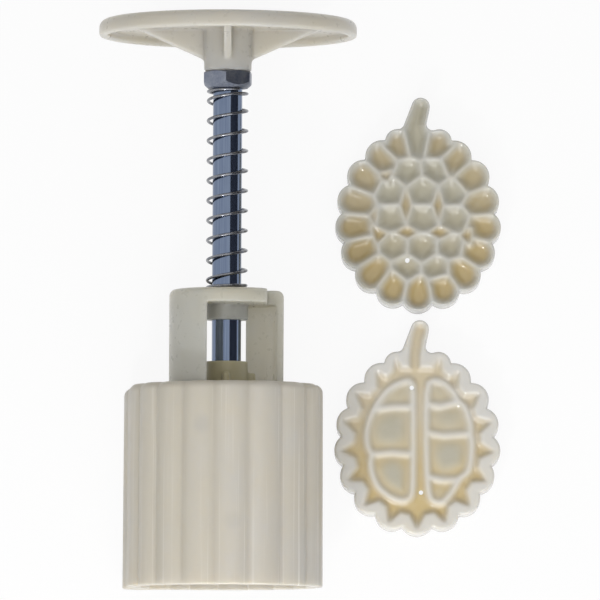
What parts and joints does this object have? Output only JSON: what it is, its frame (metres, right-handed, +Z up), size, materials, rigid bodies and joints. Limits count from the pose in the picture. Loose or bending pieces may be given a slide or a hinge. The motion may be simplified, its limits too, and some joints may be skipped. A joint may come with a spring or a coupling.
{
  "type": "mooncake press",
  "caption": "Spring-return hand press with a fluted fruit-shaped barrel, steel plunger rod and round palm handle, lying beside its interchangeable relief stamps.",
  "frame": {"origin": "middle of the set's footprint on the surface that it lies on", "axes": "+Y along the lying press towards its handle, +X towards the loose stamps, +Z up"},
  "size_m": [0.1381, 0.1974, 0.088],
  "materials": {
    "barrel_plastic": "satin moulded food plastic, milky cream",
    "tower_plastic": "smooth moulded food plastic, slightly translucent",
    "handle_plastic": "smooth moulded food plastic",
    "plunger_plastic": "moulded food plastic",
    "stamp_plastic": "glossy translucent food plastic",
    "rod_steel": "ground and bright zinc plated",
    "zinc_steel": "zinc plated, slightly dull",
    "spring_steel": "bright drawn wire"
  },
  "bodies": {
    "barrel": {"barrel": "barrel_plastic", "guide_tower": "tower_plastic", "spring": "spring_steel"},
    "plunger": {"plunger": "plunger_plastic", "plunger_screw": "zinc_steel", "rod": "rod_steel", "lock_nut": "zinc_steel", "handle": "handle_plastic"},
    "skin_stamp": {"skin_stamp": "stamp_plastic"},
    "section_stamp": {"section_stamp": "stamp_plastic"}
  },
  "joints": [
    {"name": "plunger_stroke", "type": "slide", "parent": "barrel", "child": "plunger", "axis": [0, -0.9984, -0.0557], "range_m": [0, 0.052], "stiffness_N_per_m": 450, "springref_m": -0.015, "deforming": ["spring"]},
    {"name": "skin_stamp_lift", "type": "slide", "parent": "barrel", "child": "skin_stamp", "axis": [0.7071, 0, 0.7071], "range_m": [0, 0.06]},
    {"name": "section_stamp_lift", "type": "slide", "parent": "barrel", "child": "section_stamp", "axis": [0.7071, 0, 0.7071], "range_m": [0, 0.06]}
  ]
}
